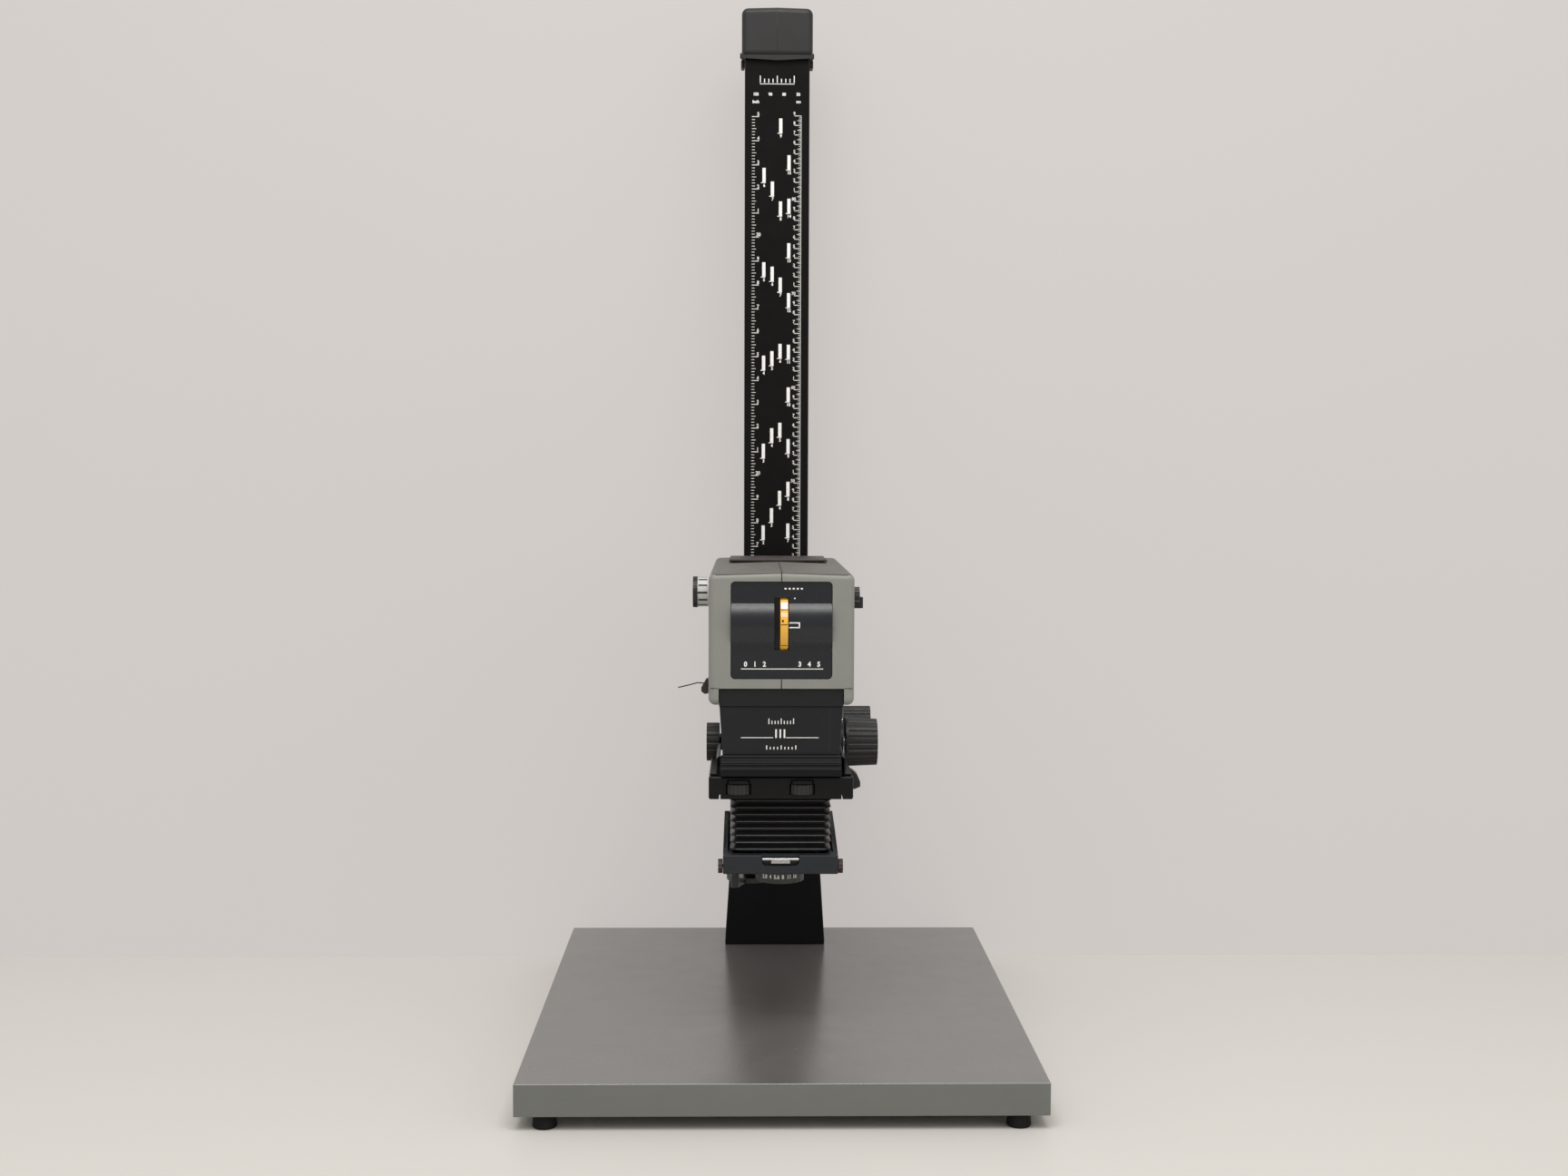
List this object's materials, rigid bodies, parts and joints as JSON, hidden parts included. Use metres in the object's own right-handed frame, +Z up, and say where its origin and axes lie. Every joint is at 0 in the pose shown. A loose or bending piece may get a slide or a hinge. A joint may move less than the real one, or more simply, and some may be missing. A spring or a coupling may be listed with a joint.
{
  "type": "photographic enlarger",
  "caption": "Darkroom photographic enlarger: rectangular baseboard on rubber feet, tall column, counterbalanced carriage, and a tilting head with lamphouse, negative stage, bellows and lens.",
  "frame": {"origin": "centre of the baseboard's footprint, on the surface that the four rubber feet stand on", "axes": "+Z up along the column, -Y towards the operator (front of the baseboard and control panel), +X to the operator's right; the lens axis is parallel to Z"},
  "size_m": [0.45, 0.55, 1.0433],
  "materials": {
    "laminate": "warm grey laminate, semi-gloss, greenish grey edge band",
    "foot_rubber": "moulded black",
    "cast_black": "textured black stove enamel",
    "column_black": "satin black anodised, printed height scales",
    "cap_grey": "moulded dark grey",
    "spring_steel": "rolled",
    "shaft_steel": "turned",
    "nylon": "natural",
    "knob_black": "moulded, fluted grips",
    "dark_plastic": "fine-grained dark blue-black",
    "panel_blue_grey": "satin dark blue-grey",
    "shell_grey": "fine-grained grey",
    "vent_brown": "dark brown-black",
    "orange_wheel": "orange with pale and dark index bands",
    "dial_white": "off-white with black index marks and black rim",
    "bright_metal": "bright sheet",
    "clear_glass": "polished",
    "opal_glass": "opal",
    "reflector_mirror": "polished",
    "ceramic": "glazed ceramic",
    "bellows_fabric": "dull black coated cloth",
    "lens_black": "black anodised",
    "ring_grey": "grey knurled",
    "red_filter": "transparent red"
  },
  "bodies": {
    "stand": {"baseboard": "laminate", "foot_front_left": "foot_rubber", "foot_front_right": "foot_rubber", "foot_rear_left": "foot_rubber", "foot_rear_right": "foot_rubber", "column_foot": "cast_black", "column_tube": "column_black", "column_cap": "cap_grey", "counterbalance_tape": "spring_steel"},
    "counterbalance_drum": {"counterbalance_drum": "spring_steel"},
    "carriage": {"carriage_frame": "cast_black", "swivel_bolt": "shaft_steel"},
    "guide_roller_lower_left": {"guide_roller_lower_left": "nylon"},
    "guide_roller_lower_right": {"guide_roller_lower_right": "nylon"},
    "guide_roller_upper_left": {"guide_roller_upper_left": "nylon"},
    "guide_roller_upper_right": {"guide_roller_upper_right": "nylon"},
    "height_drive": {"height_shaft": "shaft_steel", "height_knob": "knob_black"},
    "brake": {"brake_knob": "knob_black"},
    "head": {"head_chassis": "cast_black", "negative_stage": "dark_plastic", "film_guide_left": "knob_black", "film_guide_right": "knob_black", "bellows": "bellows_fabric"},
    "masking_wheel_left": {"masking_wheel_left": "knob_black"},
    "masking_wheel_right": {"masking_wheel_right": "knob_black"},
    "masking_blade_left": {"masking_blade_left": "bright_metal"},
    "masking_blade_right": {"masking_blade_right": "bright_metal"},
    "negative_carrier": {"carrier_lower_frame": "cast_black", "carrier_upper_frame": "cast_black", "negative_carrier_handle": "dark_plastic"},
    "lamp_head": {"mixing_housing": "dark_plastic", "lamphouse_shell_left": "shell_grey", "lamphouse_shell_right": "shell_grey", "control_panel": "panel_blue_grey", "vent_cover": "vent_brown", "lamphouse_rear_cover": "shell_grey", "lamp": "clear_glass", "lamp_socket": "ceramic", "deflector_mirror": "reflector_mirror"},
    "mixing_box": {"mixing_box": "dark_plastic", "diffuser_plate": "opal_glass"},
    "filter_wheel": {"filter_wheel": "orange_wheel"},
    "filter_slide": {"filter_slide": "bright_metal"},
    "density_dial": {"density_dial": "dial_white"},
    "white_light_knob": {"white_light_knob": "knob_black"},
    "side_clip": {"side_clip": "knob_black"},
    "lift_lever": {"lift_lever": "knob_black"},
    "focus_drive": {"focus_shaft": "shaft_steel", "focus_knob_right": "knob_black", "focus_knob_left": "knob_black"},
    "lens_stage": {"lens_stage": "dark_plastic", "lens_board": "bright_metal", "lens_barrel": "lens_black", "lens_glass": "clear_glass"},
    "lens_clip": {"lens_clip": "bright_metal"},
    "lens_clamp": {"lens_clamp_bar": "knob_black"},
    "aperture_ring": {"aperture_ring": "ring_grey"},
    "red_filter": {"red_filter_holder": "knob_black", "red_filter_glass": "red_filter"}
  },
  "joints": [
    {"name": "carriage_lift", "type": "slide", "parent": "stand", "child": "carriage", "axis": [0, 0, 1], "range_m": [-0.07, 0.56], "deforming": ["counterbalance_tape"]},
    {"name": "height_drive_turn", "type": "hinge", "parent": "carriage", "child": "height_drive", "pos_m": [0, 0.2578, 0.276], "axis": [1, 0, 0], "range_deg": [-405, 3215]},
    {"name": "guide_roller_lower_left_spin", "type": "hinge", "parent": "carriage", "child": "guide_roller_lower_left", "pos_m": [-0.0428, 0.2275, 0.262], "axis": [0, 1, 0], "range_deg": [-505, 4020]},
    {"name": "guide_roller_lower_right_spin", "type": "hinge", "parent": "carriage", "child": "guide_roller_lower_right", "pos_m": [0.0428, 0.2275, 0.262], "axis": [0, 1, 0], "range_deg": [-4020, 505]},
    {"name": "guide_roller_upper_left_spin", "type": "hinge", "parent": "carriage", "child": "guide_roller_upper_left", "pos_m": [-0.0428, 0.2275, 0.346], "axis": [0, 1, 0], "range_deg": [-505, 4020]},
    {"name": "guide_roller_upper_right_spin", "type": "hinge", "parent": "carriage", "child": "guide_roller_upper_right", "pos_m": [0.0428, 0.2275, 0.346], "axis": [0, 1, 0], "range_deg": [-4020, 505]},
    {"name": "counterbalance_drum_spin", "type": "hinge", "parent": "stand", "child": "counterbalance_drum", "pos_m": [0, 0.225, 1.01], "axis": [1, 0, 0], "range_deg": [-285, 2250]},
    {"name": "brake_turn", "type": "hinge", "parent": "carriage", "child": "brake", "pos_m": [-0.05, 0.2275, 0.372], "axis": [1, 0, 0], "range_deg": [0, 90]},
    {"name": "head_swivel", "type": "hinge", "parent": "carriage", "child": "head", "pos_m": [0, 0.187, 0.318], "axis": [0, 1, 0], "range_deg": [-90, 90]},
    {"name": "lamp_head_lift", "type": "slide", "parent": "head", "child": "lamp_head", "axis": [0, 0, 1], "range_m": [0, 0.008]},
    {"name": "lift_lever_turn", "type": "hinge", "parent": "head", "child": "lift_lever", "pos_m": [0.06, 0.0014, 0.289], "axis": [1, 0, 0], "range_deg": [0, 40.5]},
    {"name": "mixing_box_slide", "type": "slide", "parent": "lamp_head", "child": "mixing_box", "axis": [0, -1, 0], "range_m": [0, 0.1]},
    {"name": "negative_carrier_slide", "type": "slide", "parent": "head", "child": "negative_carrier", "axis": [0, -1, 0], "range_m": [0, 0.13]},
    {"name": "masking_wheel_left_turn", "type": "hinge", "parent": "head", "child": "masking_wheel_left", "pos_m": [-0.038, -0.143, 0.267], "axis": [0, 0, 1], "range_deg": [-120, 0]},
    {"name": "masking_wheel_right_turn", "type": "hinge", "parent": "head", "child": "masking_wheel_right", "pos_m": [0.019, -0.143, 0.267], "axis": [0, 0, 1], "range_deg": [0, 120]},
    {"name": "masking_blade_left_slide", "type": "slide", "parent": "head", "child": "masking_blade_left", "axis": [1, 0, 0], "range_m": [0, 0.0169]},
    {"name": "masking_blade_right_slide", "type": "slide", "parent": "head", "child": "masking_blade_right", "axis": [-1, 0, 0], "range_m": [0, 0.0169]},
    {"name": "filter_wheel_turn", "type": "hinge", "parent": "lamp_head", "child": "filter_wheel", "pos_m": [0.0023, -0.1323, 0.4155], "axis": [1, 0, 0], "range_deg": [0, 200]},
    {"name": "filter_slide_move", "type": "slide", "parent": "lamp_head", "child": "filter_slide", "axis": [1, 0, 0], "range_m": [0, 0.028]},
    {"name": "density_dial_turn", "type": "hinge", "parent": "lamp_head", "child": "density_dial", "pos_m": [-0.072, -0.113, 0.442], "axis": [1, 0, 0], "range_deg": [0, 270]},
    {"name": "white_light_turn", "type": "hinge", "parent": "lamp_head", "child": "white_light_knob", "pos_m": [0.07, -0.113, 0.437], "axis": [1, 0, 0], "range_deg": [0, 90]},
    {"name": "side_clip_turn", "type": "hinge", "parent": "lamp_head", "child": "side_clip", "pos_m": [-0.068, -0.133, 0.359], "axis": [1, 0, 0], "range_deg": [-30, 60]},
    {"name": "focus_slide", "type": "slide", "parent": "head", "child": "lens_stage", "axis": [0, 0, 1], "range_m": [-0.034, 0.024], "deforming": ["bellows"]},
    {"name": "focus_drive_turn", "type": "hinge", "parent": "head", "child": "focus_drive", "pos_m": [0, 0.0014, 0.289], "axis": [1, 0, 0], "range_deg": [-184, 261]},
    {"name": "lens_clip_press", "type": "hinge", "parent": "lens_stage", "child": "lens_clip", "pos_m": [0, -0.14, 0.202], "axis": [1, 0, 0], "range_deg": [0, 25], "stiffness_Nm_per_rad": 0.05},
    {"name": "lens_clamp_turn", "type": "hinge", "parent": "lens_stage", "child": "lens_clamp", "pos_m": [0, -0.1342, 0.1948], "axis": [1, 0, 0], "range_deg": [0, 90]},
    {"name": "aperture_ring_turn", "type": "hinge", "parent": "lens_stage", "child": "aperture_ring", "pos_m": [0, -0.088, 0.1775], "axis": [0, 0, 1], "range_deg": [0, 120]},
    {"name": "red_filter_swing", "type": "hinge", "parent": "lens_stage", "child": "red_filter", "pos_m": [-0.0415, -0.08, 0.176], "axis": [0, 0, 1], "range_deg": [-79.4, 0]}
  ],
  "couplings": [
    {"joint": "height_drive_turn", "follows": "carriage_lift", "rad_per_m": 100},
    {"joint": "guide_roller_lower_left_spin", "follows": "carriage_lift", "rad_per_m": 125},
    {"joint": "guide_roller_lower_right_spin", "follows": "carriage_lift", "rad_per_m": -125},
    {"joint": "guide_roller_upper_left_spin", "follows": "carriage_lift", "rad_per_m": 125},
    {"joint": "guide_roller_upper_right_spin", "follows": "carriage_lift", "rad_per_m": -125},
    {"joint": "counterbalance_drum_spin", "follows": "carriage_lift", "rad_per_m": 70},
    {"joint": "lift_lever_turn", "follows": "lamp_head_lift", "rad_per_m": 87.27},
    {"joint": "masking_blade_left_slide", "follows": "masking_wheel_left_turn", "m_per_rad": -0.008},
    {"joint": "masking_blade_right_slide", "follows": "masking_wheel_right_turn", "m_per_rad": 0.008},
    {"joint": "filter_slide_move", "follows": "filter_wheel_turn", "m_per_rad": 0.008},
    {"joint": "focus_drive_turn", "follows": "focus_slide", "rad_per_m": -133.33}
  ]
}
